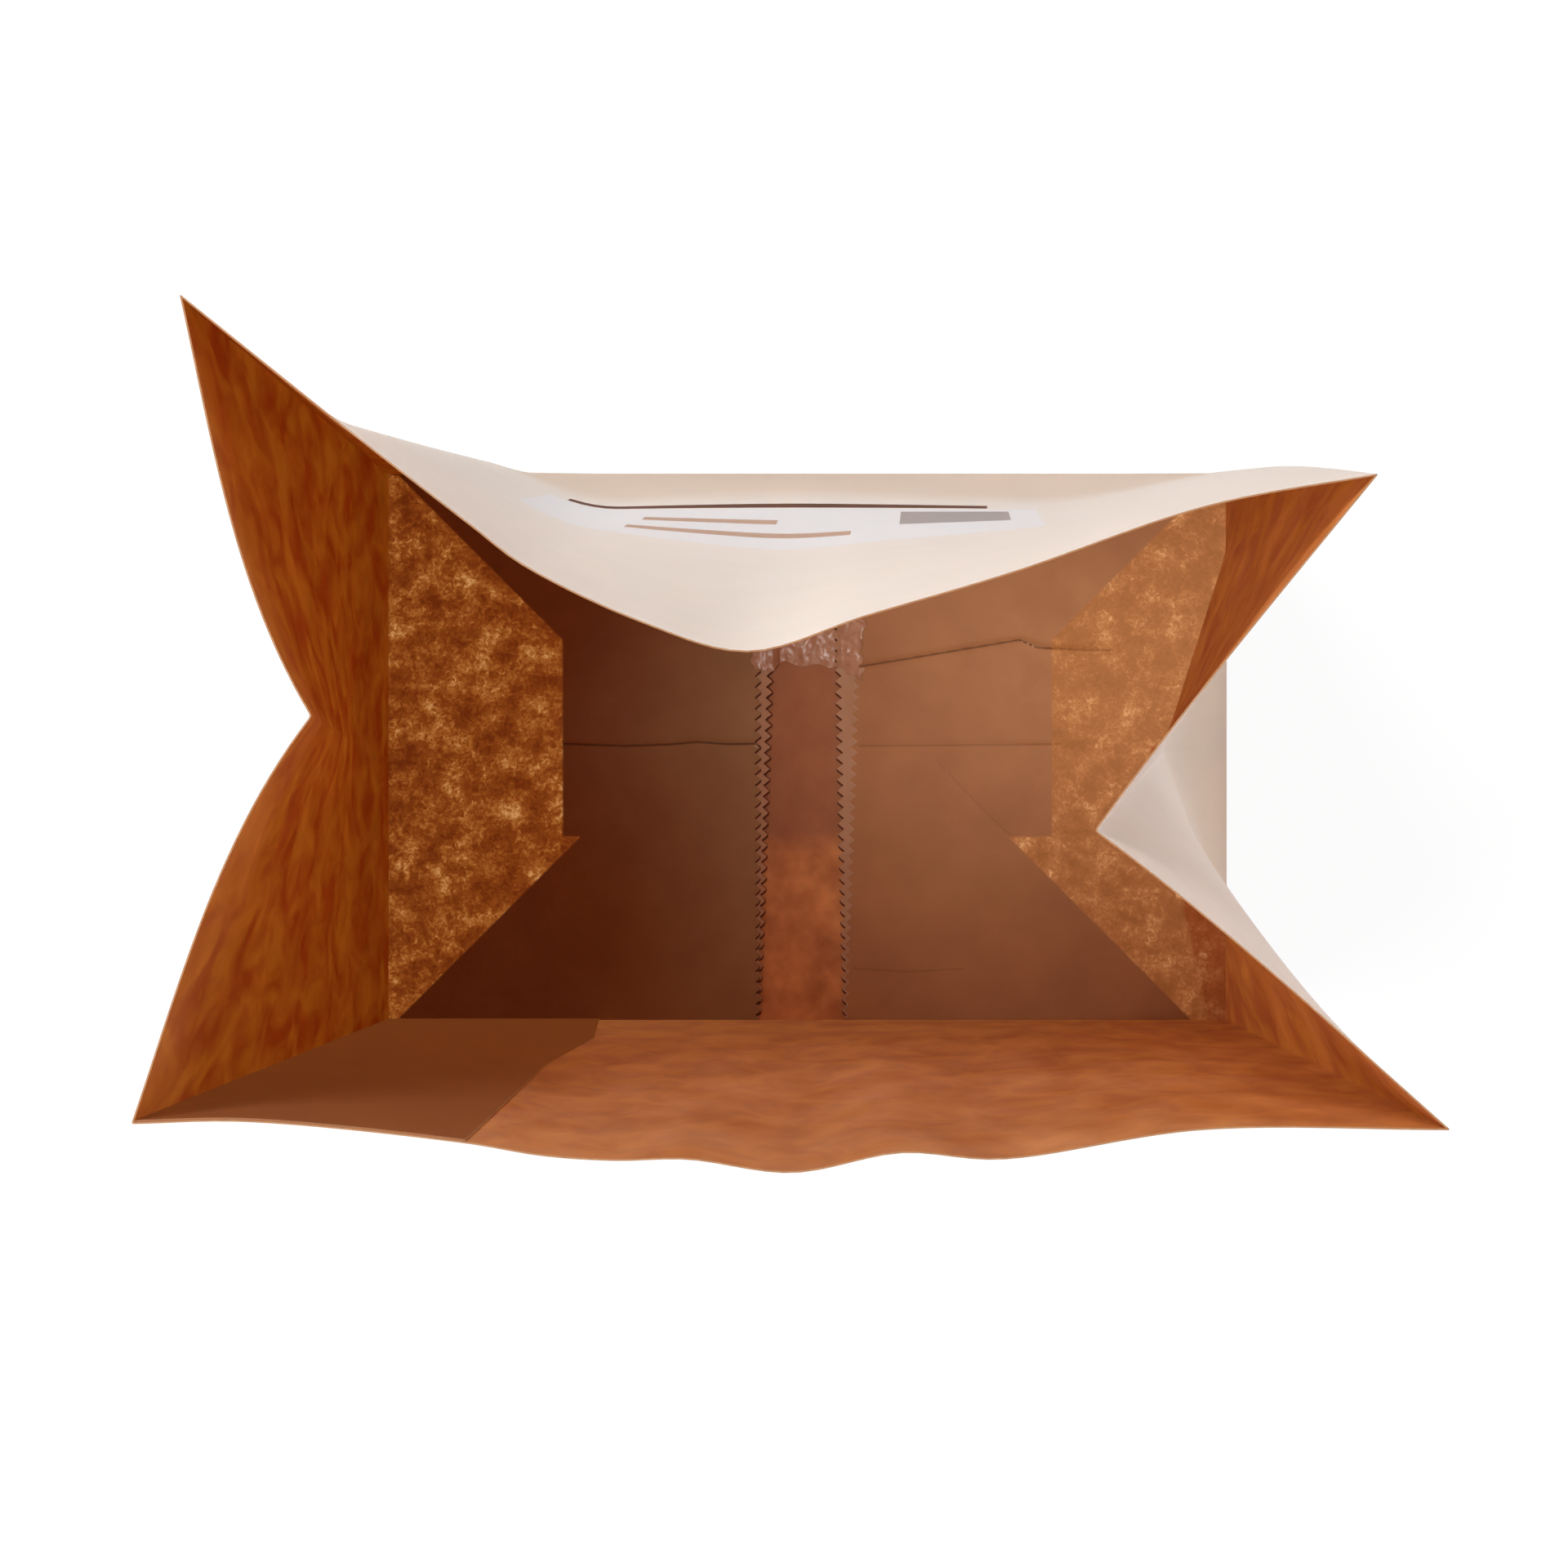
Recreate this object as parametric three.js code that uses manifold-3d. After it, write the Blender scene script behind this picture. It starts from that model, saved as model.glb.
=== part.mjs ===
// A block bottom paper bag, standing open: one two-ply sheet folded into a tube and pasted shut below.
// Millimetres, +Z up, +Y to the back panel. The origin is the middle of the base's underside.
import * as THREE from 'three';
import { mergeVertices } from 'three/addons/utils/BufferGeometryUtils.js';
import Module from 'manifold-3d';

// The sheet
const PLY = 0.15;
const SHEET = 2 * PLY;

// The base and the paper's length from the base's edge to the mouth
const BASE_WIDTH = 230;
const BASE_DEPTH = 150;
const WALL_LENGTH = 300;
const HALF_WIDTH = BASE_WIDTH / 2;
const HALF_DEPTH = BASE_DEPTH / 2;

// The block bottom's flaps: their length, how far in their hinges start from the base's corners and the side
// ones' long edges lie, their toothed cut, and how far each layer is pressed into the one below
const FLAP = 101;
const CORNER_CLEAR = 0.6;
const FLAP_SIDE_INSET = 0.24;
const TOOTH_PITCH = 3;
const TOOTH_DEPTH = 1.9;
const MELD = 0.02;

// The plies of each side flap, lower one first: how much further than FLAP it reaches, and its end's slant
const LEFT_PLIES = [{ step: 2.1, slant: 0.03 }, { step: -0.5, slant: 0 }];
const RIGHT_PLIES = [{ step: 4.2, slant: 0.018 }, { step: 0.2, slant: -0.03 }];

// The Y fold low on each gusset has its tip half the base's depth up, level with the panels' cross folds
const Y_FOLD = HALF_DEPTH;
const FRONT_FOLD_SET = 1.2;
const BACK_FOLD_SET = 2;

// The back panel's crease runs from the base's left corner to this far beside it along the mouth
const BACK_CREASE = 34;
const CREASE_AT = 1 - BACK_CREASE / BASE_WIDTH;

// Between that crease and the right corner the back panel is pressed in: at this level it is as straight as
// its deepest place allows, the press rises from its start and falls to the mouth, and it fades to both ends
const PRESS_START = 9;
const PRESS_LEVEL = 100;
const PRESS_RISE = 0.63;
const PRESS_FADE_RIGHT = 0.26;
const PRESS_FADE_LEFT = 0.17;

// The back right corner bows out by this much half way up, and the paper to both sides of it less and less
const BACK_RIGHT_BOW = 1.7;
const PANEL_BOW_POWER = 6;
const GUSSET_BOW_POWER = 2;

// The lapped length seam inside the front panel: its width, and what it gains at the cross fold
const SEAM_WIDTH = 58;
const SEAM_FLARE = 4.5;
const SEAM_EDGE = 0.4;

// Each gusset at its Y fold's tip and above, in shares of half the base's depth:
// how far the fold has come in and across, the power at which that lean fades towards the base's corners,
// and how the two arms bow at the mouth and bulge below it
const RIGHT_GUSSET = {
  tipIn: 0.35,
  tipAcross: -0.025,
  leanPower: 0.8,
  frontBow: 0.013,
  backBow: -0.008,
  bulge: 0.04,
};
const LEFT_GUSSET = { tipIn: 0.02, tipAcross: 0, leanPower: 0, frontBow: 0.043, backBow: 0.042, bulge: 0 };

// The mouth seen from above, in shares of half the base's width and depth:
// its corners, its two gusset folds, and what its long edges pass through
const MOUTH_FRONT_LEFT = share(-1.041, -0.922);
const MOUTH_FRONT_RIGHT = share(0.951, -0.936);
const MOUTH_BACK_RIGHT = share(0.846, 0.587);
const MOUTH_BACK_LEFT = share(-0.968, 1);
const MOUTH_RIGHT_FOLD = share(0.424, -0.244);
const MOUTH_LEFT_FOLD = share(-0.772, 0.023);
const FRONT_EDGE = [
  share(-0.869, -0.917),
  share(-0.539, -0.966),
  share(-0.42, -0.996),
  share(-0.31, -1.007),
  share(-0.203, -1.004),
  share(-0.043, -1.035),
  share(0.122, -0.989),
  share(0.27, -1.004),
  share(0.574, -0.936),
];
const BACK_EDGE = [
  share(0.587, 0.514),
  share(0.292, 0.361),
  share(0.07, 0.261),
  share(-0.111, 0.178),
  share(-0.27, 0.245),
  share(-0.452, 0.378),
  share(-0.526, 0.464),
  share(-0.746, 0.726),
];

// How finely the walls are divided
const FRONT_STEPS = 26;
const BACK_STEPS = 23;
const FOLD_STEPS = 8;
const UPPER_STEPS = 9;
const LEAST_MITRE = 0.5;

const wasm = await Module();
wasm.setup();

function plan(x, y) {
  return new THREE.Vector3(x, y, 0);
}

function share(x, y) {
  return plan(x * HALF_WIDTH, y * HALF_DEPTH);
}

// The point a length v up a straight run of paper that leaves the foot and ends above a point of the plan
function upThePaper(foot, above, length, v) {
  const lean = above.clone().sub(foot).setZ(0);
  const rise = Math.sqrt(length * length - lean.lengthSq());
  return foot.clone().addScaledVector(lean.setZ(rise), v / length);
}

// A front or back panel, straight up the paper from the base's edge to the mouth's curve
function panel(footStart, footEnd, edge) {
  return (s, v) => upThePaper(footStart.clone().lerp(footEnd, s), edge.getPointAt(s), WALL_LENGTH, v);
}

// How far a panel stands off at the cross fold that is level with the Y folds' tips, and above and below it
function crossFold(s, v, set) {
  const near = v < Y_FOLD ? v / Y_FOLD : (WALL_LENGTH - v) / (WALL_LENGTH - Y_FOLD);
  return plan(0, set * near * Math.sin(Math.PI * s));
}

// How far the paper by the back right corner bows out, as a share of the corner itself
function cornerBow(part, v) {
  return plan(0, BACK_RIGHT_BOW * part * Math.sin((Math.PI * v) / WALL_LENGTH));
}

// The back panel: straight up the paper, with two flat facets that meet in the crease by its left corner
function creasedPanel(footStart, footEnd, edge) {
  const plain = panel(footStart, footEnd, edge);
  const foot = plain(CREASE_AT, 0);
  const top = plain(CREASE_AT, WALL_LENGTH);
  const cornerTop = plain(1, WALL_LENGTH);
  const lowerFacet = [foot.clone().sub(footEnd), top.clone().sub(foot)];
  const upperFacet = [top.clone().sub(cornerTop), cornerTop.clone().sub(footEnd)];
  const leanAt = (s) => HALF_DEPTH - plain(s, PRESS_LEVEL).y;
  const mostLean = Math.max(...evenStations(BACK_STEPS).map(({ s }) => leanAt(s)));
  const pressedIn = (s, v) => {
    const near = Math.min(s / PRESS_FADE_RIGHT, (CREASE_AT - s) / PRESS_FADE_LEFT, 1);
    const up = Math.max(v - PRESS_START, 0) / (WALL_LENGTH - PRESS_START);
    const rise = Math.sin(Math.PI * up ** PRESS_RISE);
    return plan(0, (leanAt(s) - mostLean) * near * near * (3 - 2 * near) * rise);
  };
  return (s, v) => {
    const across = Math.min((1 - s) / (1 - CREASE_AT), 1);
    const up = v / WALL_LENGTH;
    const setOut = crossFold(Math.min(s, CREASE_AT), v, BACK_FOLD_SET).multiplyScalar(across);
    const bow = cornerBow((1 - s) ** PANEL_BOW_POWER, v);
    if (across === 1) return plain(s, v).add(setOut).add(bow).add(pressedIn(s, v));
    const [besideCorner, upwards] = up < across ? lowerFacet : upperFacet;
    return footEnd.clone().addScaledVector(besideCorner, across).addScaledVector(upwards, up).add(setOut);
  };
}

// The centre fold of a gusset: from the base's edge to the Y fold's tip, then on to the mouth
function gussetFold(footX, shape, mouth) {
  const foot = plan(footX, 0);
  const above = plan(footX - Math.sign(footX) * shape.tipIn * Y_FOLD, shape.tipAcross * Y_FOLD);
  const tip = upThePaper(foot, above, Y_FOLD, Y_FOLD);
  const at = (v) => upThePaper(tip, mouth, WALL_LENGTH - Y_FOLD, v - Y_FOLD);
  return { foot, tip, at, mouth, ...shape };
}

// Half a gusset, s running from the corner to the centre fold; below the Y fold it is a leaning triangle
function gussetHalf(cornerFoot, cornerMouth, fold, bow) {
  const lean = fold.tip.clone().sub(fold.foot).divideScalar(Y_FOLD).setZ(0);
  const chord = fold.mouth.clone().sub(cornerMouth);
  const outward = plan(-chord.y, chord.x).normalize();
  outward.multiplyScalar(Math.sign(outward.x * fold.foot.x));
  return (s, v) => {
    const reach = Math.min(v / Y_FOLD, 1);
    const along = Math.max(s, reach);
    const leanHere = lean.clone().multiplyScalar(along ** fold.leanPower);
    leanHere.z = Math.sqrt(1 - leanHere.lengthSq());
    const onTriangle = cornerFoot.clone().lerp(fold.foot, along).addScaledVector(leanHere, reach * Y_FOLD);
    if (v < Y_FOLD && s >= reach) return onTriangle;
    const corner = upThePaper(cornerFoot, cornerMouth, WALL_LENGTH, v);
    if (v < Y_FOLD) return corner.lerp(onTriangle, s / reach);
    const up = (v - Y_FOLD) / (WALL_LENGTH - Y_FOLD);
    const arch = 4 * s * (1 - s) * HALF_DEPTH;
    const archByFold = arch * (s + 0.5);
    const swell = archByFold * bow * up + arch * fold.bulge * Math.sin(Math.PI * up);
    return corner.lerp(fold.at(v), s).addScaledVector(outward, swell);
  };
}

// The walls, one side after another, anticlockwise seen from above
function wallSides() {
  const frontLeft = plan(-HALF_WIDTH, -HALF_DEPTH);
  const frontRight = plan(HALF_WIDTH, -HALF_DEPTH);
  const backRight = plan(HALF_WIDTH, HALF_DEPTH);
  const backLeft = plan(-HALF_WIDTH, HALF_DEPTH);
  const frontCurve = new THREE.CatmullRomCurve3([MOUTH_FRONT_LEFT, ...FRONT_EDGE, MOUTH_FRONT_RIGHT]);
  const backCurve = new THREE.CatmullRomCurve3([MOUTH_BACK_RIGHT, ...BACK_EDGE, MOUTH_BACK_LEFT]);
  const front = panel(frontLeft, frontRight, frontCurve);
  const back = creasedPanel(backRight, backLeft, backCurve);
  const rightFold = gussetFold(HALF_WIDTH, RIGHT_GUSSET, MOUTH_RIGHT_FOLD);
  const leftFold = gussetFold(-HALF_WIDTH, LEFT_GUSSET, MOUTH_LEFT_FOLD);
  const rightFront = gussetHalf(frontRight, MOUTH_FRONT_RIGHT, rightFold, rightFold.frontBow);
  const rightBack = gussetHalf(backRight, MOUTH_BACK_RIGHT, rightFold, rightFold.backBow);
  const leftBack = gussetHalf(backLeft, MOUTH_BACK_LEFT, leftFold, leftFold.backBow);
  const leftFront = gussetHalf(frontLeft, MOUTH_FRONT_LEFT, leftFold, leftFold.frontBow);
  return [
    { at: (s, v) => front(s, v).add(crossFold(s, v, FRONT_FOLD_SET)), stations: frontStations() },
    { at: rightFront, stations: evenStations(FOLD_STEPS) },
    {
      at: (s, v) => rightBack(1 - s, v).add(cornerBow(s ** GUSSET_BOW_POWER, v)),
      stations: evenStations(FOLD_STEPS),
      leansBack: true,
    },
    { at: back, stations: backStations(), leansBack: true },
    { at: leftBack, stations: evenStations(FOLD_STEPS) },
    { at: (s, v) => leftFront(1 - s, v), stations: evenStations(FOLD_STEPS), leansBack: true },
  ];
}

// Stations along a side, each with the sheets of paper there; a side's last station is the next one's first
function evenStations(steps) {
  return Array.from({ length: steps }, (_, i) => ({ s: i / steps, sheets: 1 }));
}

// The front panel is two sheets thick from its left corner to the seam's edge; that flares at the cross fold
function frontStations() {
  const seamEnd = SEAM_WIDTH / BASE_WIDTH;
  const flare = SEAM_FLARE / BASE_WIDTH;
  const edge = SEAM_EDGE / BASE_WIDTH;
  const clear = 2 * edge;
  const even = evenStations(FRONT_STEPS);
  const plain = even.filter(({ s }) => s < seamEnd - clear || s > seamEnd + flare + clear);
  const stations = plain.map(({ s }) => ({ s, sheets: s > 0 && s < seamEnd ? 2 : 1 }));
  stations.push({ s: edge, sheets: 2 });
  stations.push({ s: seamEnd - edge, flare, sheets: 2 }, { s: seamEnd, flare, sheets: 1 });
  return stations.sort((a, b) => a.s - b.s);
}

// The back panel's stations: even up to the crease, then one for each level, so that it runs along edges
function backStations() {
  const even = evenStations(BACK_STEPS).map(({ s, sheets }) => ({ s: s * CREASE_AT, sheets }));
  const levels = wallLevels().slice(1).toReversed();
  return [...even, ...levels.map((v) => ({ s: 1 - ((1 - CREASE_AT) * v) / WALL_LENGTH, sheets: 1 }))];
}

// Heights up the paper; the lower ones step with the gusset's stations so that the Y fold runs along edges
function wallLevels() {
  const lower = Array.from({ length: FOLD_STEPS }, (_, i) => (Y_FOLD * i) / FOLD_STEPS);
  const upper = Array.from(
    { length: UPPER_STEPS + 1 },
    (_, i) => Y_FOLD + ((WALL_LENGTH - Y_FOLD) * i) / UPPER_STEPS,
  );
  return [...lower, ...upper];
}

// The inner skin of a ring of points: each moved in by its thickness, square to the paper in plan
function movedIn(ring, sheets) {
  const count = ring.length;
  return ring.map((point, i) => {
    const before = point.clone().sub(ring[(i + count - 1) % count]).setZ(0).normalize();
    const after = ring[(i + 1) % count].clone().sub(point).setZ(0).normalize();
    const along = before.clone().add(after).normalize();
    const reach = (SHEET * sheets[i]) / Math.max(along.dot(after), LEAST_MITRE);
    return point.clone().add(plan(-along.y, along.x).multiplyScalar(reach));
  });
}

// The folded tube: an outer and an inner skin joined at the base's edge and at the mouth
function wallTube() {
  const nearFold = (v) => Math.max(1 - Math.abs(v - Y_FOLD) / Y_FOLD, 0);
  const stations = wallSides().flatMap(({ at, stations: list, leansBack }) =>
    list.map(({ s, flare = 0, sheets }) => ({
      at: (v) => at(s + flare * nearFold(v), v),
      sheets,
      leansBack,
    })),
  );
  const sheets = stations.map((station) => station.sheets);
  const outer = wallLevels().map((v) => stations.map((station) => station.at(v)));
  const inner = outer.map((ring) => movedIn(ring, sheets));
  const count = stations.length;
  const top = outer.length - 1;
  const skin = outer.length * count;
  const points = [...outer.flat(), ...inner.flat()];
  const faces = [];
  const quad = (a, b, c, d) => faces.push(a, b, c, a, c, d);
  for (let i = 0; i < count; i += 1) {
    const next = (i + 1) % count;
    for (let j = 0; j < top; j += 1) {
      const low = j * count;
      const high = low + count;
      const cell = [low + i, low + next, high + next, high + i];
      if (stations[i].leansBack) cell.push(cell.shift());
      const [a, b, c, d] = cell;
      quad(a, b, c, d);
      quad(c + skin, b + skin, a + skin, d + skin);
    }
    quad(i, i + skin, next + skin, next);
    quad(top * count + next, top * count + next + skin, top * count + i + skin, top * count + i);
  }
  const geometry = new THREE.BufferGeometry();
  geometry.setFromPoints(points);
  geometry.setIndex(faces);
  return geometry;
}

// A toothed cut between two points, its teeth standing out to the right of the way from one to the other
function toothedCut(from, to) {
  const along = to.clone().sub(from);
  const halves = 2 * Math.round(along.length() / TOOTH_PITCH);
  const out = plan(along.y, -along.x).setLength(TOOTH_DEPTH);
  return Array.from({ length: halves + 1 }, (_, i) => {
    const point = from.clone().addScaledVector(along, i / halves);
    return i % 2 ? point.add(out) : point;
  });
}

// A layer of paper with the given outline, from a level up, pressed a little into the layer below it
function layer(outline, level, thickness) {
  const shape = new THREE.Shape(outline.map(({ x, y }) => new THREE.Vector2(x, y)));
  const pressed = level > 0 ? MELD : 0;
  const geometry = new THREE.ExtrudeGeometry(shape, { depth: thickness + pressed, bevelEnabled: false });
  return geometry.translate(0, 0, level - pressed);
}

// A front (side -1) or back (side 1) flap: 45 degree edges from the base's corners to the toothed end
function endFlap(side, level) {
  const hinge = side * (HALF_DEPTH - SHEET / 2);
  const halfHinge = HALF_WIDTH - CORNER_CLEAR;
  const halfEnd = HALF_WIDTH - FLAP;
  const end = side * (HALF_DEPTH - FLAP);
  const cut = toothedCut(plan(side * -halfEnd, end), plan(side * halfEnd, end));
  const outline = [plan(side * halfHinge, hinge), plan(side * -halfHinge, hinge), ...cut];
  return layer(outline, level, SHEET);
}

// The wing between the back flap and a left (side -1) or right (side 1) flap, folded under at 45 degrees
function backWing(side, level) {
  const hinge = HALF_DEPTH - SHEET / 2;
  const inner = side * (HALF_WIDTH - FLAP);
  const corner = plan(side * (HALF_WIDTH - CORNER_CLEAR), hinge);
  return layer([corner, plan(inner, hinge), plan(inner, HALF_DEPTH - FLAP)], level, SHEET);
}

// One ply of a left (side -1) or right (side 1) flap, folded in from the gusset whose lean is given
function sideFlapPly(side, tipIn, length, slant, level) {
  const corner = side * (HALF_WIDTH - SHEET / 2);
  const half = HALF_DEPTH - FLAP_SIDE_INSET;
  const middle = corner - side * level * Math.tan(Math.asin(tipIn));
  const endAt = (y) => plan(side * (HALF_WIDTH - length - slant * y), y);
  const cut = toothedCut(endAt(side * half), endAt(side * -half));
  const outline = [plan(corner, side * -half), plan(middle, 0), plan(corner, side * half), ...cut];
  return layer(outline, level, PLY);
}

function baseLayers() {
  const layers = [endFlap(1, 0), endFlap(-1, SHEET)];
  for (const [side, { tipIn }, plies] of [[-1, LEFT_GUSSET, LEFT_PLIES], [1, RIGHT_GUSSET, RIGHT_PLIES]]) {
    layers.push(backWing(side, SHEET));
    plies.forEach(({ step, slant }, i) => {
      layers.push(sideFlapPly(side, tipIn, FLAP + step, slant, 2 * SHEET + i * PLY));
    });
  }
  return layers;
}

function toSolid(geometry) {
  const bare = geometry.clone();
  bare.deleteAttribute('normal');
  bare.deleteAttribute('uv');
  const merged = mergeVertices(bare);
  return new wasm.Manifold(
    new wasm.Mesh({
      numProp: 3,
      vertProperties: new Float32Array(merged.attributes.position.array),
      triVerts: new Uint32Array(merged.index.array),
    }),
  );
}

function toGeometry(solid) {
  const { vertProperties, triVerts } = solid.getMesh();
  const geometry = new THREE.BufferGeometry();
  geometry.setAttribute('position', new THREE.BufferAttribute(new Float32Array(vertProperties), 3));
  geometry.setIndex(new THREE.BufferAttribute(new Uint32Array(triVerts), 1));
  geometry.computeVertexNormals();
  return geometry;
}

const folded = baseLayers().reduce((solid, flap) => solid.add(toSolid(flap)), toSolid(wallTube()));
const paper = new THREE.MeshStandardMaterial({ name: 'kraft_paper', color: '#b98a5e', roughness: 0.9 });
const bag = new THREE.Mesh(toGeometry(folded), paper);
bag.name = 'bag';

const group = new THREE.Group();
group.name = 'block_bottom_bag';
group.add(bag);

export default group;
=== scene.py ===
import math

import bpy
import numpy as np
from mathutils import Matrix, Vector, noise


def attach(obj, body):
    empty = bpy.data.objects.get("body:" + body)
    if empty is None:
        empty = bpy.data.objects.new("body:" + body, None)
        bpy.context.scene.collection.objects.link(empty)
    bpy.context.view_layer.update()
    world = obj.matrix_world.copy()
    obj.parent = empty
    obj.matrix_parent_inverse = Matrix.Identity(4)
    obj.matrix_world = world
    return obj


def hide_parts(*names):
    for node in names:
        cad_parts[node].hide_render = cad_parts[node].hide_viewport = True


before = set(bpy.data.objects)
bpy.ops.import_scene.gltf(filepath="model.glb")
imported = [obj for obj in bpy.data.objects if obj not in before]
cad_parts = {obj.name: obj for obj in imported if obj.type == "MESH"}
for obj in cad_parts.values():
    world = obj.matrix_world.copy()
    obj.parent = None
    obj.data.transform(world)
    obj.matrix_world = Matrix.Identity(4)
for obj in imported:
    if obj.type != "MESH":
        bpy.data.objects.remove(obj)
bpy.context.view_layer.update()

# Lengths are in millimetres until a mesh is placed
MM = 0.001

# The sheet, the base and the paper's length up to the mouth
PLY = 0.15
SHEET = 2 * PLY
HALF_WIDTH = 115
HALF_DEPTH = 75
WALL_LENGTH = 300
Y_FOLD = HALF_DEPTH
FOLD_ROUND = 0.5

# The front panel's cross fold and the back panel's, its crease by the left corner, and how it is pressed in
CROSS_FOLD_SET = 1.2
BACK_FOLD_SET = 2.0
BACK_FACET = 34
BACK_LEAN = 0.25
BACK_RIGHT_BOW = 1.7
PRESS_START = 9
PRESS_LEVEL = 100
PRESS_RISE = 0.63
PRESS_FADE = (0.26, 0.17)
PRESS_SAMPLES = 40

# The gussets and the mouth, in shares of half the base's width and depth, as in the solid
RIGHT_GUSSET = {"tip_in": 0.35, "tip_across": -0.025, "lean_power": 0.8,
                "front_bow": 0.013, "back_bow": -0.008, "bulge": 0.04}
LEFT_GUSSET = {"tip_in": 0.02, "tip_across": 0, "lean_power": 0,
               "front_bow": 0.043, "back_bow": 0.042, "bulge": 0}
MOUTH_FRONT_LEFT = (-1.041, -0.922)
MOUTH_FRONT_RIGHT = (0.951, -0.936)
MOUTH_BACK_RIGHT = (0.846, 0.587)
MOUTH_BACK_LEFT = (-0.968, 1)
MOUTH_RIGHT_FOLD = (0.424, -0.244)
MOUTH_LEFT_FOLD = (-0.772, 0.023)
FRONT_EDGE = [(-0.869, -0.917), (-0.539, -0.966), (-0.42, -0.996), (-0.31, -1.007), (-0.203, -1.004),
              (-0.043, -1.035), (0.122, -0.989), (0.27, -1.004), (0.574, -0.936)]
BACK_EDGE = [(0.587, 0.514), (0.292, 0.361), (0.07, 0.261), (-0.111, 0.178), (-0.27, 0.245),
             (-0.452, 0.378), (-0.526, 0.464), (-0.746, 0.726)]

# The flaps of the block bottom and their toothed cut
FLAP = 101
TOOTH_PITCH = 3
TOOTH_DEPTH = 1.9
TOOTH_LEAN = 0.6

# How the side flaps' ends curl up: how far, from how far back, and the shares in the middle and to the back
FLAP_CURL = 1.2
CURL_LENGTH = 14
CURL_MIDDLE = 0.65
CURL_TO_BACK = 0.35

# The plies of each side flap, lower one first: how much further than FLAP it reaches, and its end's slant
LEFT_PLIES = [("outer", 2.1, 0.03), ("inner", -0.5, 0)]
RIGHT_PLIES = [("outer", 4.2, 0.018), ("inner", 0.2, -0.03)]

# Creases in the flaps: the points they pass through, their height, half their width and the darkness of the
# shade painted along them
CREASES = [
    ([(-67, 0.9), (-50, 0.3), (-38, 0.7), (-30, 1.4), (-22, 0.8), (-14, 0.9)], 0.7, 1.5, 0.75),
    ([(14, 0.3), (40, 0.5), (70, 0.8)], 0.4, 1.3, 0.3),
    ([(14, 21.9), (36, 25.6), (58, 29.3), (63, 27.2), (72, 26.7), (83, 26.4)], 1.0, 1.7, 0.65),
    ([(12, -60.5), (28, -61.5), (43, -60.6)], 0.4, 1.5, 0.2),
    ([(36, -4.3), (48, -17), (59.7, -28)], 0.3, 1.5, 0.2),
]
CREASE_SHADE_WIDTH = 0.45

# The flaps' slow unevenness: its height and the size of its swells
SWELL = 0.25
SWELL_SIZE = 30

# The crumpled end of the strip, where paste has dried over the flaps' ends: half its width, its near edge and
# length, how far it stands up and least does, how far it lies over the flaps and sinks again to its sides,
# and how far it runs down the flaps' ends left and right
PASTE_HALF = 15
PASTE_END = 22.5
PASTE_LENGTH = 21
PASTE_CRUMPLE = 0.8
PASTE_LEAST = 0.6
PASTE_OVER = 2.2
PASTE_SINK = 0.45
PASTE_TAILS = (2.5, 5)

# How far the paste's near edge and its sides wander, over which length; its crumples: share, sizes, seed
PASTE_RAGGED = (2.2, 4)
PASTE_FRAYED = (1.6, 2.5)
PASTE_FOLDS = [(0.7, 5, 6, 1.7), (0.5, 1.6, 2, 4.2)]

# The lapped length seam inside the front panel
SEAM_WIDTH = 58
SEAM_FLARE = 4.5
SEAM_GAP = 0.06

# Where the side flaps lie on other layers, as seen from inside: the 45 degree edges of the folded wings,
# the edge and foot of the layer between them, and how soft these edges show
WING_EDGE = 37.6
WING_EDGE_RIGHT = 30.5
LAYER_EDGE = 67
LAYER_FOOT = -24.5
LAYER_SOFT = 0.3

# A painted glow for what shines through the side flaps where they are one layer: stops in the fibre clouds,
# and colours there
LIT_STOPS = (0.38, 0.5, 0.58, 0.68)
LIT_LEFT = ("#4d1f06", "#70380f", "#915824", "#c8955c")
LIT_RIGHT = ("#5b3012", "#724021", "#8b5832", "#bb8c5e")

# A strip by the right front corner, where the flap bends up, with painted shade, less glow and a darker
# colour: its edge's place, slope and softness, and how much of the painted glow it keeps
RAISED_AT = 93.65
RAISED_SLOPE = 0.215
RAISED_SOFT = 0.6
RAISED_LIGHT = 0.6

# Where the upper layer of the strip between the side flaps ends, and how softly
STRIP_LAYER = 26
STRIP_SOFT = 3

# The printed label on the back panel: its middle up the paper, then its fields: colour, place, half sizes
LABEL_MIDDLE = 135
LABEL = [
    ("#dfe2e4", 0, 0, 60, 36),
    ("#452518", 4, -42, 52, 4),
    ("#9b9b9a", -40, -14, 13, 15),
    ("#b89b86", 10, 14, 26, 4),
    ("#b89b86", 18, -10, 16, 4),
]

# Painted shade low down the outside, a darker tan: heights between which that fades, and how much it is
TAN_BAND = (50, 85)
TAN_SHARE = 0.7

# A painted glow on the walls for light from the floor coming through them: how bright, at places around them
# from the front left corner, and the two heights between which it fades to a share of that
FLOOR_LIGHT = [(70, 0.38), (120, 0.26), (228, 0.12), (233, 0.14), (300, 0.14), (306, 0)]
FLOOR_LIGHT_FADE = (30, 240, 0.15)

# Around the walls, where the front panel's inside, painted paler for the whiter light falling on it, turns to
# the gussets', painted warmer for the light through them
FRONT_PALE = (150, 210)

# Low down less light reaches the walls from outside, painted as shade by dimming their translucency: the
# heights between which that fades, and the share low down
WALL_LOW = (45, 95)
WALL_LOW_LIGHT = 0.85

# The share of each paper's light that comes through it, and the strength of the seam's painted glow from the
# floor
LINER_THROUGH = 0.42
WALL_THROUGH = 0.3
SEAM_THROUGH = 0.5
SEAM_LIGHT = 0.245

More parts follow.
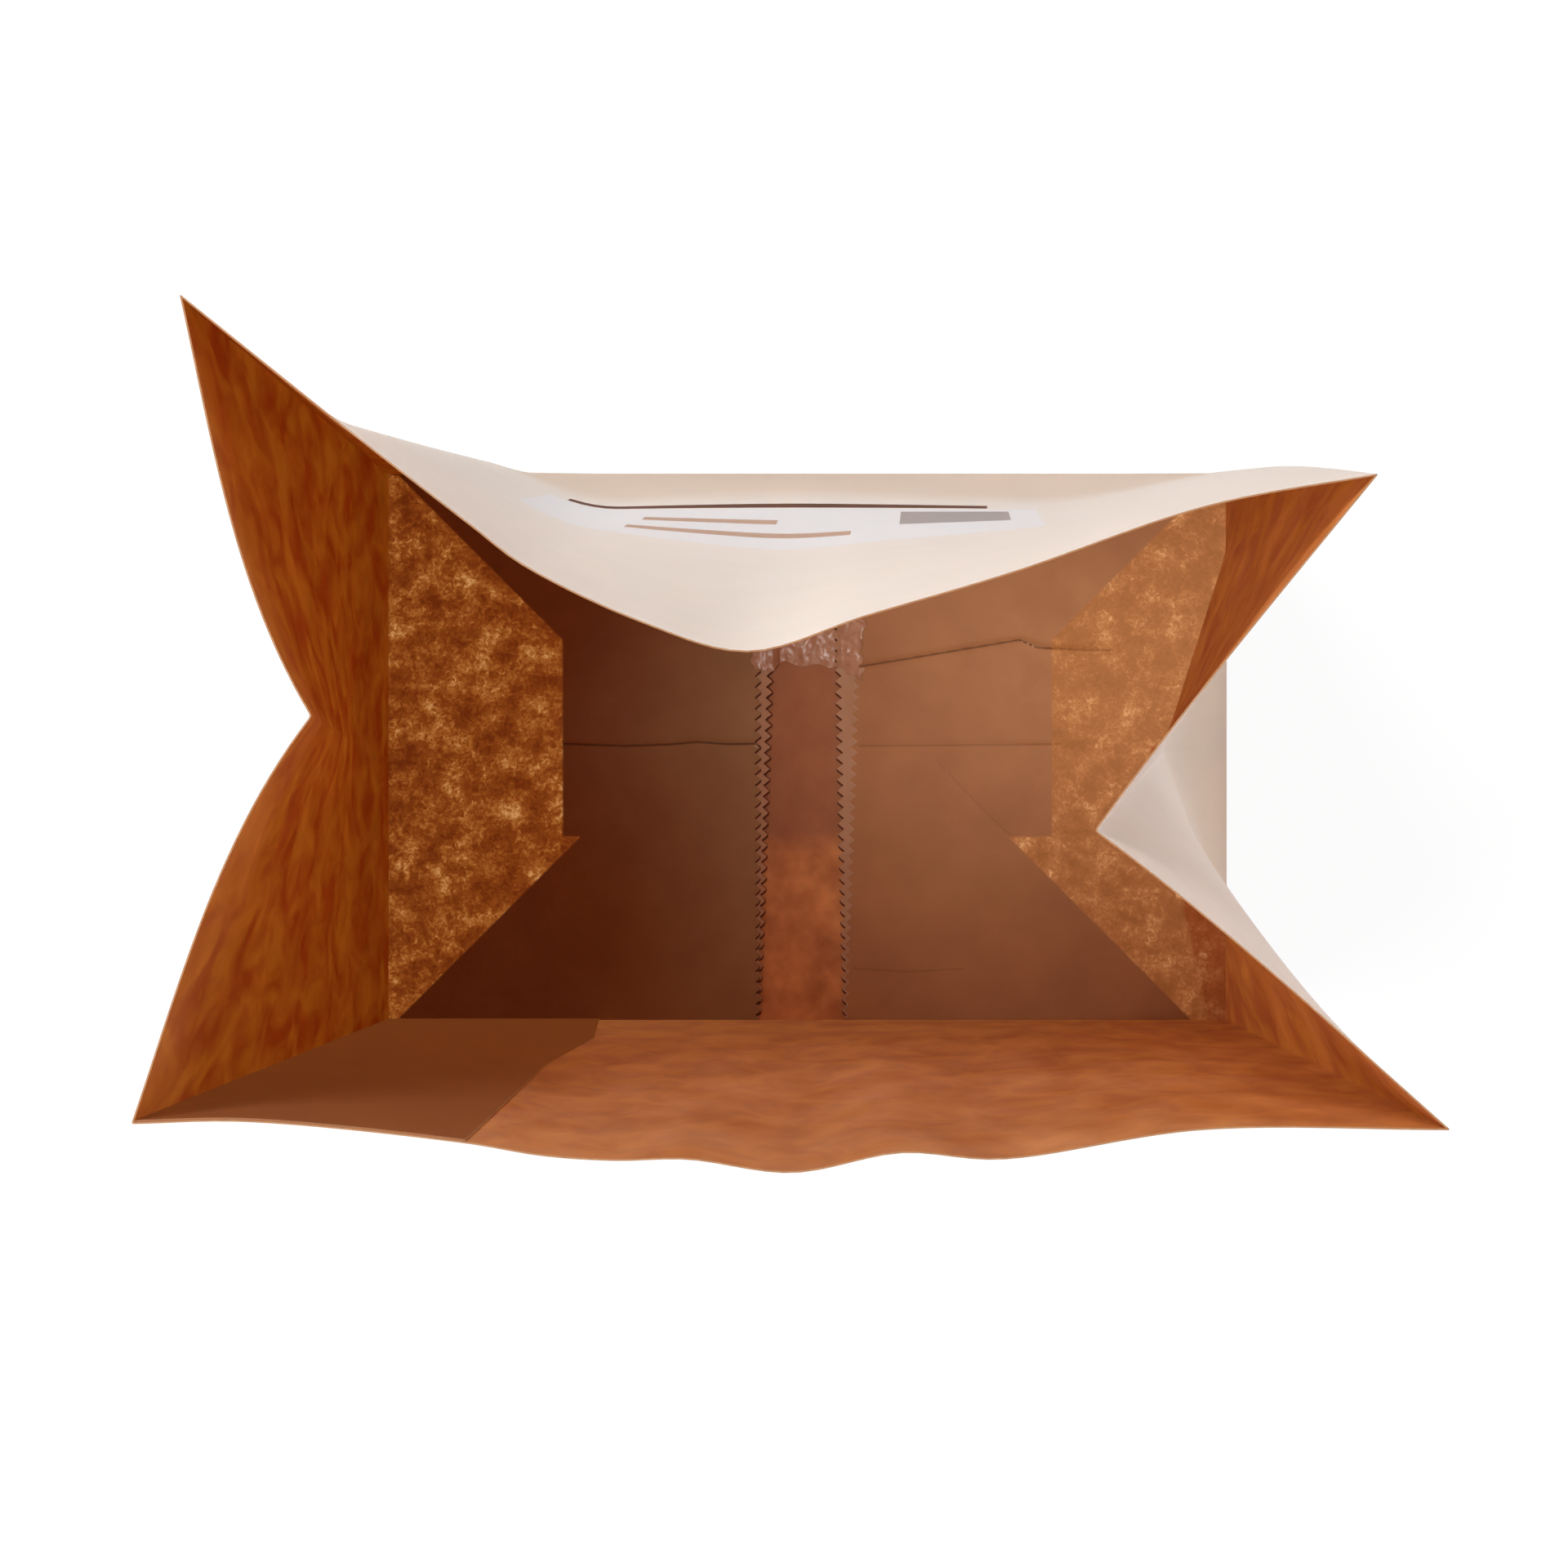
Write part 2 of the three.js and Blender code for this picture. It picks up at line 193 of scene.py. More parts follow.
# Sizes of the clouds in each paper and of its fibres, how much longer the walls' clouds are up the paper, and
# how far the fibres stand up
LINER_CLOUD = 14
LINER_FIBRE = 0.8
WALL_FLOC = 14
WALL_CLOUD = 11
WALL_STRETCH = 2
WALL_FIBRE = 1.2
SEAM_CLOUD = 24
FLAP_CLOUD = 16
FLAP_FLOC = 7
FLAP_SPECK = 1.7
STRIP_CLOUD = 11
MARGIN_CLOUD = 9
TOOTH_SHADOW_CLOUD = 2
PASTE_CLOUD = 3
KRAFT_FIBRE = 0.9
EDGE_FIBRE = 1.5
FIBRE_RELIEF = 0.2

# How finely the sheets are divided, how close points are welded, and up to which angle faces shade smoothly
WALL_STEP = 3.0
LOWER_ROWS = 19
ROW_STEP = 4.0
FLAP_STEP = 1.5
TOOTH_ROWS = 4
CURVE_STEPS = 60
PASTE_COLUMNS = 80
PASTE_ROWS = 60
WELD = 0.001
SMOOTH_ANGLE = 40

# The floor: its size and how far it lies below the base in metres, and the share of its white no shadow dims
FLOOR_SIZE = 6
FLOOR_DROP = 0.0003
FLOOR_WHITE = 0.9
FLOOR_GLOW = 0.93

# The lamps: place and aim in metres, size and power; then the light from all round
LAMPS = [
    ("key_softbox", (-0.61, 0.69, 1.5), (0, 0, 0.15), 0.55, 30),
    ("back_softbox", (-0.5, 1.3, 0.5), (0, 0, 0.2), 0.6, 3),
    ("top_softbox", (-0.53, -0.25, 1.5), (0, 0, 0.1), 0.42, 22),
    ("fill_softbox", (1.2, 0.0, 0.22), (0, 0, 0.15), 0.7, 10.5),
]
ROUND_LIGHT = 0.35

# The camera, straight above
CAMERA_AT = (-6.38, -10.1, 817)
CAMERA_LENS = 68.4
CAMERA_SENSOR = 36


def share(point):
    return Vector((point[0] * HALF_WIDTH, point[1] * HALF_DEPTH, 0))


def curve_through(points):
    """A smooth plan curve through the points, as a function of the share of its length."""
    points = [np.array(p[:2]) for p in points]
    ends = [2 * points[0] - points[1]] + points + [2 * points[-1] - points[-2]]
    t = np.linspace(0, 1, CURVE_STEPS)[:, None]
    run = [points[0][None, :]]
    for a, b, c, d in zip(ends, ends[1:], ends[2:], ends[3:]):
        ab, bc, cd = (math.sqrt(np.linalg.norm(q - p)) for p, q in ((a, b), (b, c), (c, d)))
        leave = bc * ((b - a) / ab - (c - a) / (ab + bc) + (c - b) / bc)
        arrive = bc * ((c - b) / bc - (d - b) / (bc + cd) + (d - c) / cd)
        run.append((b + leave * t + (3 * (c - b) - 2 * leave - arrive) * t**2
                    + (2 * (b - c) + leave + arrive) * t**3)[1:])
    run = np.concatenate(run)
    along = np.concatenate([[0], np.cumsum(np.linalg.norm(np.diff(run, axis=0), axis=1))])
    along /= along[-1]
    return lambda s: Vector((np.interp(s, along, run[:, 0]), np.interp(s, along, run[:, 1]), 0))


def up_the_paper(foot, above, length, v):
    """The point a length v up a straight run of paper from its foot to above a point of the plan."""
    lean = Vector((above.x - foot.x, above.y - foot.y, 0))
    lean.z = math.sqrt(length**2 - lean.length_squared)
    return foot + lean * (v / length)


def panel(foot_start, foot_end, edge):
    return lambda s, v: up_the_paper(foot_start.lerp(foot_end, s), edge(s), WALL_LENGTH, v)


def gusset_fold(foot_x, shape, mouth):
    foot = Vector((foot_x, 0, 0))
    tip_in = math.copysign(shape["tip_in"], foot_x) * Y_FOLD
    above = Vector((foot_x - tip_in, shape["tip_across"] * Y_FOLD, 0))
    tip = up_the_paper(foot, above, Y_FOLD, Y_FOLD)
    at = lambda v: up_the_paper(tip, mouth, WALL_LENGTH - Y_FOLD, v - Y_FOLD)
    return {"foot": foot, "tip": tip, "at": at, "mouth": mouth, **shape}


def gusset_half(corner_foot, corner_mouth, fold, bow):
    """Half a gusset, s from the corner to the centre fold; below the Y fold it is a leaning triangle."""
    lean = (fold["tip"] - fold["foot"]) / Y_FOLD
    chord = fold["mouth"] - corner_mouth
    outward = Vector((-chord.y, chord.x, 0)).normalized()
    outward *= math.copysign(1, outward.x * fold["foot"].x)

    def at(s, v):
        reach = min(v / Y_FOLD, 1)
        along = max(s, reach)
        lean_here = Vector((lean.x, lean.y, 0)) * along ** fold["lean_power"]
        lean_here.z = math.sqrt(1 - lean_here.length_squared)
        on_triangle = corner_foot.lerp(fold["foot"], along) + lean_here * reach * Y_FOLD
        if v < Y_FOLD and s >= reach:
            return on_triangle
        corner = up_the_paper(corner_foot, corner_mouth, WALL_LENGTH, v)
        if v < Y_FOLD:
            return corner.lerp(on_triangle, s / reach)
        up = (v - Y_FOLD) / (WALL_LENGTH - Y_FOLD)
        arch = 4 * s * (1 - s) * HALF_DEPTH
        swell = arch * ((s + 0.5) * fold[bow] * up + fold["bulge"] * math.sin(math.pi * up))
        return corner.lerp(fold["at"](v), s) + outward * swell

    return at


def wall_sides():
    """The walls, anticlockwise from the front left corner: each one's length of foot, and point at (s, v)."""
    front_left, front_right = Vector((-HALF_WIDTH, -HALF_DEPTH, 0)), Vector((HALF_WIDTH, -HALF_DEPTH, 0))
    back_right, back_left = Vector((HALF_WIDTH, HALF_DEPTH, 0)), Vector((-HALF_WIDTH, HALF_DEPTH, 0))
    mouth = [share(p) for p in (MOUTH_FRONT_LEFT, MOUTH_FRONT_RIGHT, MOUTH_BACK_RIGHT, MOUTH_BACK_LEFT)]
    front_rim = curve_through([mouth[0], *map(share, FRONT_EDGE), mouth[1]])
    back_rim = curve_through([mouth[2], *map(share, BACK_EDGE), mouth[3]])
    plain_front = panel(front_left, front_right, front_rim)
    plain_back = panel(back_right, back_left, back_rim)

    def cross_fold(s, v, setting):
        near = v / Y_FOLD if v < Y_FOLD else (WALL_LENGTH - v) / (WALL_LENGTH - Y_FOLD)
        return Vector((0, setting * near * math.sin(math.pi * s), 0))

    def corner_bow(fade, v):
        return Vector((0, BACK_RIGHT_BOW * fade * math.sin(math.pi * v / WALL_LENGTH), 0))

    crease = 1 - BACK_FACET / (2 * HALF_WIDTH)
    pressed = [plain_back(i / PRESS_SAMPLES, PRESS_LEVEL) for i in range(PRESS_SAMPLES + 1)]
    most_lean = max(HALF_DEPTH - point.y for point in pressed)

    def pressed_in(s, v):
        near = min(s / PRESS_FADE[0], (crease - s) / PRESS_FADE[1], 1)
        more = most_lean - (HALF_DEPTH - plain_back(s, PRESS_LEVEL).y)
        rise = math.sin(math.pi * (max(v - PRESS_START, 0) / (WALL_LENGTH - PRESS_START)) ** PRESS_RISE)
        return Vector((0, -more * (3 - 2 * near) * near**2 * rise, 0))

    def front(s, v):
        return plain_front(s, v) + cross_fold(s, v, CROSS_FOLD_SET)

    def back(s, v):
        across = (1 - s) * 2 * HALF_WIDTH / BACK_FACET
        up = v / WALL_LENGTH
        if across >= 1:
            out = cross_fold(s, v, BACK_FOLD_SET) + corner_bow((1 - s) ** 6, v)
            return plain_back(s, v) + out + pressed_in(s, v)
        foot, top = plain_back(crease, 0), plain_back(crease, WALL_LENGTH)
        set_in = cross_fold(crease, v, BACK_FOLD_SET) * across
        if up < across:
            return back_left + (foot - back_left) * across + (top - foot) * up + set_in
        corner = plain_back(1, WALL_LENGTH)
        return back_left + (corner - back_left) * up + (top - corner) * across + set_in

    right_fold = gusset_fold(HALF_WIDTH, RIGHT_GUSSET, share(MOUTH_RIGHT_FOLD))
    left_fold = gusset_fold(-HALF_WIDTH, LEFT_GUSSET, share(MOUTH_LEFT_FOLD))
    right_front = gusset_half(front_right, mouth[1], right_fold, "front_bow")
    right_back = gusset_half(back_right, mouth[2], right_fold, "back_bow")
    left_back = gusset_half(back_left, mouth[3], left_fold, "back_bow")
    left_front = gusset_half(front_left, mouth[0], left_fold, "front_bow")
    return [
        (2 * HALF_WIDTH, front),
        (HALF_DEPTH, right_front),
        (HALF_DEPTH, lambda s, v: right_back(1 - s, v) + corner_bow(s**2, v)),
        (2 * HALF_WIDTH, back),
        (HALF_DEPTH, left_back),
        (HALF_DEPTH, lambda s, v: left_front(1 - s, v)),
    ]


SIDES = wall_sides()
STARTS = np.concatenate([[0], np.cumsum([length for length, _ in SIDES])])
AROUND = float(STARTS[-1])
BACK_MIDDLE = float(STARTS[3] + STARTS[4]) / 2


def sharp_wall(u, v):
    u %= AROUND
    side = min(int(np.searchsorted(STARTS, u, side="right")) - 1, len(SIDES) - 1)
    length, at = SIDES[side]
    return at((u - STARTS[side]) / length, v)


def wall(u, v):
    """The wall with its folds rounded: a mean of three points of the sharp wall, a fold's radius apart."""
    return (sharp_wall(u - FOLD_ROUND, v) + 2 * sharp_wall(u, v) + sharp_wall(u + FOLD_ROUND, v)) / 4


def stations(start, end, step, near):
    """Places from start to just short of end, about a step apart, and closer by each end."""
    count = max(round((end - start) / step), 2)
    inside = [start + (end - start) * i / count for i in range(1, count)]
    return [start, *(start + n for n in near), *inside, *(end - n for n in reversed(near))]


def sheet(name, us, vs, at, materials):
    """A grid laid on the points at(u, v), with its place on the paper in millimetres as its UV map."""
    bpy.ops.object.select_all(action="DESELECT")
    bpy.ops.mesh.primitive_grid_add(x_subdivisions=len(us) - 1, y_subdivisions=len(vs) - 1, size=1)
    piece = bpy.context.object
    piece.name = piece.data.name = name
    points = np.array([at(u, v) for v in vs for u in us]) * MM
    piece.data.vertices.foreach_set("co", points.ravel())
    places = np.array([(u, v) for v in vs for u in us])
    corners = np.empty(len(piece.data.loops), dtype=np.int32)
    piece.data.loops.foreach_get("vertex_index", corners)
    piece.data.uv_layers[0].data.foreach_set("uv", places[corners].ravel())
    for material in materials:
        piece.data.materials.append(material)
    piece.data.update()
    return piece


def thicken(piece, thickness):
    """Gives the sheet its thickness behind the face: the second material there, the third on its edges."""
    solid = piece.modifiers.new("thickness", "SOLIDIFY")
    solid.thickness = thickness * MM
    solid.offset = -1
    solid.use_even_offset = True
    solid.material_offset = 1
    solid.material_offset_rim = 2
    bpy.ops.object.modifier_apply(modifier=solid.name)


def settle(piece):
    bpy.ops.object.shade_smooth_by_angle(angle=math.radians(SMOOTH_ANGLE))
    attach(piece, "root")
    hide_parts("bag")


def linear(hex_colour):
    """An sRGB hex colour as linear red, green, blue and alpha."""
    parts = [int(hex_colour[i:i + 2], 16) / 255 for i in (1, 3, 5)]
    return [p / 12.92 if p <= 0.04045 else ((p + 0.055) / 1.055) ** 2.4 for p in parts] + [1]


def add(tree, kind, inputs, stops=(), **settings):
    """Adds a node with its settings and, for a ramp, its stops.

    Each input gets a value, or a link from a socket or from a node's first output.
    """
    node = tree.nodes.new(kind)
    for name, value in settings.items():
        setattr(node, name, value)
    if stops:
        first, last = node.color_ramp.elements
        first.position, first.color = stops[0]
        last.position, last.color = stops[-1]
        for place, colour in stops[1:-1]:
            node.color_ramp.elements.new(place).color = colour
    for key, value in inputs.items():
        if isinstance(value, bpy.types.Node):
            value = next(out for out in value.outputs if out.enabled)
        if isinstance(value, bpy.types.NodeSocket):
            tree.links.new(value, node.inputs[key])
        else:
            node.inputs[key].default_value = value
    return node


def new_material(name):
    material = bpy.data.materials.new(name)
    material.use_nodes = True
    material.node_tree.nodes.clear()
    return material, material.node_tree


def cream_liner():
    """Outside: bleached liner with a thin cream coat, matt and a little cloudy, with a plain label behind."""
    material, tree = new_material("cream_coated_liner")
    paper = add(tree, "ShaderNodeTexCoord", {}).outputs["UV"]
    cloud = add(tree, "ShaderNodeTexNoise", {"Vector": paper, "Scale": 1 / LINER_CLOUD, "Detail": 3})
    cream = add(tree, "ShaderNodeMix",
                {0: cloud, 6: linear("#dcd6cc"), 7: linear("#e5e0d8")}, data_type="RGBA")
    place = add(tree, "ShaderNodeSeparateXYZ", {0: paper})
    # Painted shade: a darker tan low down the outside
    low_shade = add(tree, "ShaderNodeMapRange",
                 {"Value": place.outputs[1], "From Min": TAN_BAND[0], "From Max": TAN_BAND[1],
                  "To Min": TAN_SHARE, "To Max": 0})
    colour = add(tree, "ShaderNodeMix", {0: low_shade, 6: cream, 7: linear("#d4bfaa")}, data_type="RGBA")
    across = add(tree, "ShaderNodeMath", {0: place.outputs[0], 1: BACK_MIDDLE}, operation="SUBTRACT")
    up = add(tree, "ShaderNodeMath", {0: place.outputs[1], 1: LABEL_MIDDLE}, operation="SUBTRACT")
    for hex_colour, middle, level, half_width, half_height in LABEL:
        off = add(tree, "ShaderNodeMath", {0: across, 1: middle}, operation="SUBTRACT")
        over = add(tree, "ShaderNodeMath", {0: up, 1: level}, operation="SUBTRACT")
        wide = add(tree, "ShaderNodeMath", {0: off}, operation="ABSOLUTE")
        high = add(tree, "ShaderNodeMath", {0: over}, operation="ABSOLUTE")
        in_width = add(tree, "ShaderNodeMath", {0: wide, 1: half_width}, operation="LESS_THAN")
        in_height = add(tree, "ShaderNodeMath", {0: high, 1: half_height}, operation="LESS_THAN")
        inside = add(tree, "ShaderNodeMath", {0: in_width, 1: in_height}, operation="MULTIPLY")
        colour = add(tree, "ShaderNodeMix", {0: inside, 6: colour, 7: linear(hex_colour)}, data_type="RGBA")
    fibre = add(tree, "ShaderNodeTexNoise", {"Vector": paper, "Scale": 1 / LINER_FIBRE, "Detail": 2})
    bump = add(tree, "ShaderNodeBump", {"Height": fibre, "Strength": 0.05, "Distance": FIBRE_RELIEF * MM})
    face = add(tree, "ShaderNodeBsdfPrincipled",
               {"Base Color": colour, "Roughness": 0.7, "Specular IOR Level": 0.3, "Normal": bump})
    through = add(tree, "ShaderNodeBsdfTranslucent", {"Color": linear("#e6ddd2")})
    both = add(tree, "ShaderNodeMixShader", {0: LINER_THROUGH, 1: face, 2: through})
    add(tree, "ShaderNodeOutputMaterial", {"Surface": both})
    return material


def wall_kraft():
    """Inside of the walls: unbleached kraft, whose uneven fibre clouds show where light comes through."""
    material, tree = new_material("kraft_lit_through")
    paper = add(tree, "ShaderNodeTexCoord", {}).outputs["UV"]
    place = add(tree, "ShaderNodeSeparateXYZ", {0: paper})
    around, height = place.outputs[0], place.outputs[1]
    stretched = add(tree, "ShaderNodeVectorMath",
                    {0: paper, 1: (1, 1 / WALL_STRETCH, 1)}, operation="MULTIPLY")

    flocs = add(tree, "ShaderNodeTexNoise",
                {"Vector": stretched, "Scale": 1 / WALL_FLOC, "Detail": 1.5, "Roughness": 0.45})
    tone = add(tree, "ShaderNodeMapRange", {"Value": flocs, "From Min": 0.26, "From Max": 0.76})
    # Painted light: the front panel's inside is paler, the gussets' warmer
    side = add(tree, "ShaderNodeMapRange",
               {"Value": around, "From Min": FRONT_PALE[0], "From Max": FRONT_PALE[1]})
    dark = add(tree, "ShaderNodeMix",
               {0: side, 6: linear("#a86c40"), 7: linear("#ac6832")}, data_type="RGBA")
    light = add(tree, "ShaderNodeMix",
                {0: side, 6: linear("#c48c60"), 7: linear("#c8884e")}, data_type="RGBA")
    colour = add(tree, "ShaderNodeMix", {0: tone, 6: dark, 7: light}, data_type="RGBA")

    clouds = add(tree, "ShaderNodeTexNoise",
                 {"Vector": stretched, "Scale": 1 / WALL_CLOUD, "Detail": 2, "Roughness": 0.55,
                  "Distortion": 0.8})
    thinness = add(tree, "ShaderNodeMapRange", {"Value": clouds, "From Min": 0.34, "From Max": 0.66})
    thin = add(tree, "ShaderNodeMix",
               {0: thinness, 6: linear("#c84b05"), 7: linear("#ff9a28")}, data_type="RGBA")
    # Painted shade: the translucency is dimmed low down
    above = add(tree, "ShaderNodeMapRange",
                {"Value": height, "From Min": WALL_LOW[0], "From Max": WALL_LOW[1], "To Min": WALL_LOW_LIGHT})
    glow = add(tree, "ShaderNodeVectorMath", {0: thin, "Scale": above}, operation="SCALE")

    # Painted glow: emission for light from the floor coming through the walls
    turn = add(tree, "ShaderNodeMapRange", {"Value": around, "From Max": AROUND})
    from_floor = add(tree, "ShaderNodeValToRGB", {0: turn},
                     stops=[(u / AROUND, [strength] * 3 + [1]) for u, strength in FLOOR_LIGHT])
    low, high, least = FLOOR_LIGHT_FADE
    fade = add(tree, "ShaderNodeMapRange",
               {"Value": height, "From Min": low, "From Max": high, "To Min": 1, "To Max": least})
    floor_light = add(tree, "ShaderNodeMath", {0: from_floor, 1: fade}, operation="MULTIPLY")

    fibre = add(tree, "ShaderNodeTexNoise", {"Vector": paper, "Scale": 1 / WALL_FIBRE, "Detail": 2})
    bump = add(tree, "ShaderNodeBump", {"Height": fibre, "Strength": 0.08, "Distance": FIBRE_RELIEF * MM})
    face = add(tree, "ShaderNodeBsdfPrincipled",
               {"Base Color": colour, "Roughness": 0.8, "Specular IOR Level": 0.25, "Normal": bump,
                "Emission Color": linear("#b97a4b"), "Emission Strength": floor_light})
    through = add(tree, "ShaderNodeBsdfTranslucent", {"Color": glow})
    both = add(tree, "ShaderNodeMixShader", {0: WALL_THROUGH, 1: face, 2: through})
    add(tree, "ShaderNodeOutputMaterial", {"Surface": both})
    return material


def seam_kraft():
    """Inside of the length seam's lap: kraft of two layers, an even brown painted darker as shade, with only
    faint clouds.
    """
    material, tree = new_material("kraft_seam")
    paper = add(tree, "ShaderNodeTexCoord", {}).outputs["UV"]
    cloud = add(tree, "ShaderNodeTexNoise", {"Vector": paper, "Scale": 1 / SEAM_CLOUD, "Detail": 2})
    # Painted shade in the darker brown, and a painted glow in the emission
    colour = add(tree, "ShaderNodeMix",
                 {0: cloud, 6: linear("#5f371c"), 7: linear("#744a2c")}, data_type="RGBA")
    face = add(tree, "ShaderNodeBsdfPrincipled",
               {"Base Color": colour, "Roughness": 0.8, "Specular IOR Level": 0.25,
                "Emission Color": linear("#bc6f39"), "Emission Strength": SEAM_LIGHT})
    through = add(tree, "ShaderNodeBsdfTranslucent", {"Color": linear("#f0dcc4")})
    both = add(tree, "ShaderNodeMixShader", {0: SEAM_THROUGH, 1: face, 2: through})
    add(tree, "ShaderNodeOutputMaterial", {"Surface": both})
    return material


def painted_crease_shade(tree, x, y):
    """How much the shade painted in fine lines along the creases darkens the paper at a place in millimetres.
    """
    deepest_shade = None
    for path, _, _, dark in CREASES:
        (start, _), (end, _) = path[0], path[-1]
        along = add(tree, "ShaderNodeMapRange", {"Value": x, "From Min": start, "From Max": end})
        course = add(tree, "ShaderNodeValToRGB", {0: along},
                     stops=[((px - start) / (end - start), [(py + HALF_DEPTH) / (2 * HALF_DEPTH)] * 3 + [1])
                            for px, py in path])
        level = add(tree, "ShaderNodeMapRange",
                    {"Value": course, "To Min": -HALF_DEPTH, "To Max": HALF_DEPTH})
        off = add(tree, "ShaderNodeMath", {0: y, 1: level}, operation="SUBTRACT")
        far = add(tree, "ShaderNodeMath", {0: off}, operation="ABSOLUTE")
        line = add(tree, "ShaderNodeMapRange",
                   {"Value": far, "From Max": CREASE_SHADE_WIDTH, "To Min": dark, "To Max": 0})
        past_start = add(tree, "ShaderNodeMath", {0: x, 1: start}, operation="GREATER_THAN")
        before_end = add(tree, "ShaderNodeMath", {0: x, 1: end}, operation="LESS_THAN")
        between = add(tree, "ShaderNodeMath", {0: past_start, 1: before_end}, operation="MULTIPLY")
        shown = add(tree, "ShaderNodeMath", {0: line, 1: between}, operation="MULTIPLY")
        if deepest_shade is None:
            deepest_shade = shown
        else:
            deepest_shade = add(tree, "ShaderNodeMath", {0: deepest_shade, 1: shown}, operation="MAXIMUM")
    return deepest_shade


def flap_kraft():
    """Inside of the side flaps: kraft, even and brown on other layers, cloudy with a painted glow where
    alone.
    """
    material, tree = new_material("kraft_flap")
    place = add(tree, "ShaderNodeTexCoord", {}).outputs["Object"]
    flat = add(tree, "ShaderNodeVectorMath", {0: place, "Scale": 1 / MM}, operation="SCALE")
    axis = add(tree, "ShaderNodeSeparateXYZ", {0: flat})
    x, y = axis.outputs[0], axis.outputs[1]
    out = add(tree, "ShaderNodeMath", {0: x}, operation="ABSOLUTE")
    off = add(tree, "ShaderNodeMath", {0: y}, operation="ABSOLUTE")
    right = add(tree, "ShaderNodeMath", {0: x, 1: 0.0}, operation="GREATER_THAN")
    low = add(tree, "ShaderNodeMath", {0: y, 1: 0.0}, operation="LESS_THAN")
    right_low = add(tree, "ShaderNodeMath", {0: right, 1: low}, operation="MULTIPLY")

    wing = add(tree, "ShaderNodeMapRange",
               {"Value": right_low, "To Min": WING_EDGE, "To Max": WING_EDGE_RIGHT})
    past = add(tree, "ShaderNodeMath", {0: out, 1: off}, operation="SUBTRACT")
    past_wing = add(tree, "ShaderNodeMath", {0: past, 1: wing}, operation="SUBTRACT")
    past_layer = add(tree, "ShaderNodeMath", {0: out, 1: LAYER_EDGE}, operation="SUBTRACT")
    below_layer = add(tree, "ShaderNodeMath", {0: LAYER_FOOT, 1: y}, operation="SUBTRACT")
    clear = add(tree, "ShaderNodeMath", {0: past_layer, 1: below_layer}, operation="MAXIMUM")
    bare = add(tree, "ShaderNodeMath", {0: past_wing, 1: clear}, operation="MINIMUM")
    single = add(tree, "ShaderNodeMapRange", {"Value": bare, "From Min": -LAYER_SOFT, "From Max": LAYER_SOFT})

    cloud = add(tree, "ShaderNodeTexNoise",
                {"Vector": flat, "Scale": 1 / FLAP_CLOUD, "Detail": 4, "Roughness": 0.55})
    dark = add(tree, "ShaderNodeMix",
               {0: right, 6: linear("#906a44"), 7: linear("#9a6943")}, data_type="RGBA")
    light = add(tree, "ShaderNodeMix",
                {0: right, 6: linear("#aa8459"), 7: linear("#b78356")}, data_type="RGBA")
    even = add(tree, "ShaderNodeMix", {0: cloud, 6: dark, 7: light}, data_type="RGBA")

    flocs = add(tree, "ShaderNodeTexNoise",
                {"Vector": flat, "Scale": 1 / FLAP_FLOC, "Detail": 3, "Roughness": 0.6})
    specks = add(tree, "ShaderNodeTexNoise",
                 {"Vector": flat, "Scale": 1 / FLAP_SPECK, "Detail": 3, "Roughness": 0.7, "Distortion": 1.2})
    mottle = add(tree, "ShaderNodeMix", {0: 0.5, 2: flocs, 3: specks})
    # Painted glow: emission where the flap is one layer, for light coming through it
    lit_left, lit_right = (
        add(tree, "ShaderNodeValToRGB", {0: mottle},
            stops=[(stop, linear(shade)) for stop, shade in zip(LIT_STOPS, shades)])
        for shades in (LIT_LEFT, LIT_RIGHT))
    lit = add(tree, "ShaderNodeMix", {0: right, 6: lit_left, 7: lit_right}, data_type="RGBA")

    # Painted shade: on the upturned strip by the right front corner the glow is dimmed and the colour darker
    beyond = add(tree, "ShaderNodeMath", {0: y, 1: RAISED_SLOPE, 2: x}, operation="MULTIPLY_ADD")
    edge = add(tree, "ShaderNodeMapRange",
               {"Value": beyond, "From Min": RAISED_AT - RAISED_SOFT, "From Max": RAISED_AT + RAISED_SOFT})
    raised = add(tree, "ShaderNodeMath", {0: edge, 1: right_low}, operation="MULTIPLY")
    dim = add(tree, "ShaderNodeMapRange", {"Value": raised, "To Min": 1, "To Max": RAISED_LIGHT})
    shine = add(tree, "ShaderNodeMath", {0: single, 1: dim}, operation="MULTIPLY")
    alone = add(tree, "ShaderNodeMix",
                {0: raised, 6: linear("#8d6235"), 7: linear("#934810")}, data_type="RGBA")
    plain = add(tree, "ShaderNodeMix", {0: single, 6: even, 7: alone}, data_type="RGBA")
    # Painted shade: a fine dark line along each crease
    line = painted_crease_shade(tree, x, y)
    colour = add(tree, "ShaderNodeMix", {0: line, 6: plain, 7: linear("#2c1206")}, data_type="RGBA")
    fibre = add(tree, "ShaderNodeTexNoise", {"Vector": flat, "Scale": 1 / KRAFT_FIBRE, "Detail": 3})
    bump = add(tree, "ShaderNodeBump", {"Height": fibre, "Strength": 0.15, "Distance": FIBRE_RELIEF * MM})
    face = add(tree, "ShaderNodeBsdfPrincipled",
               {"Base Color": colour, "Roughness": 0.7, "Specular IOR Level": 0.3, "Normal": bump,
                "Emission Color": lit, "Emission Strength": shine})
    add(tree, "ShaderNodeOutputMaterial", {"Surface": face})
    return material


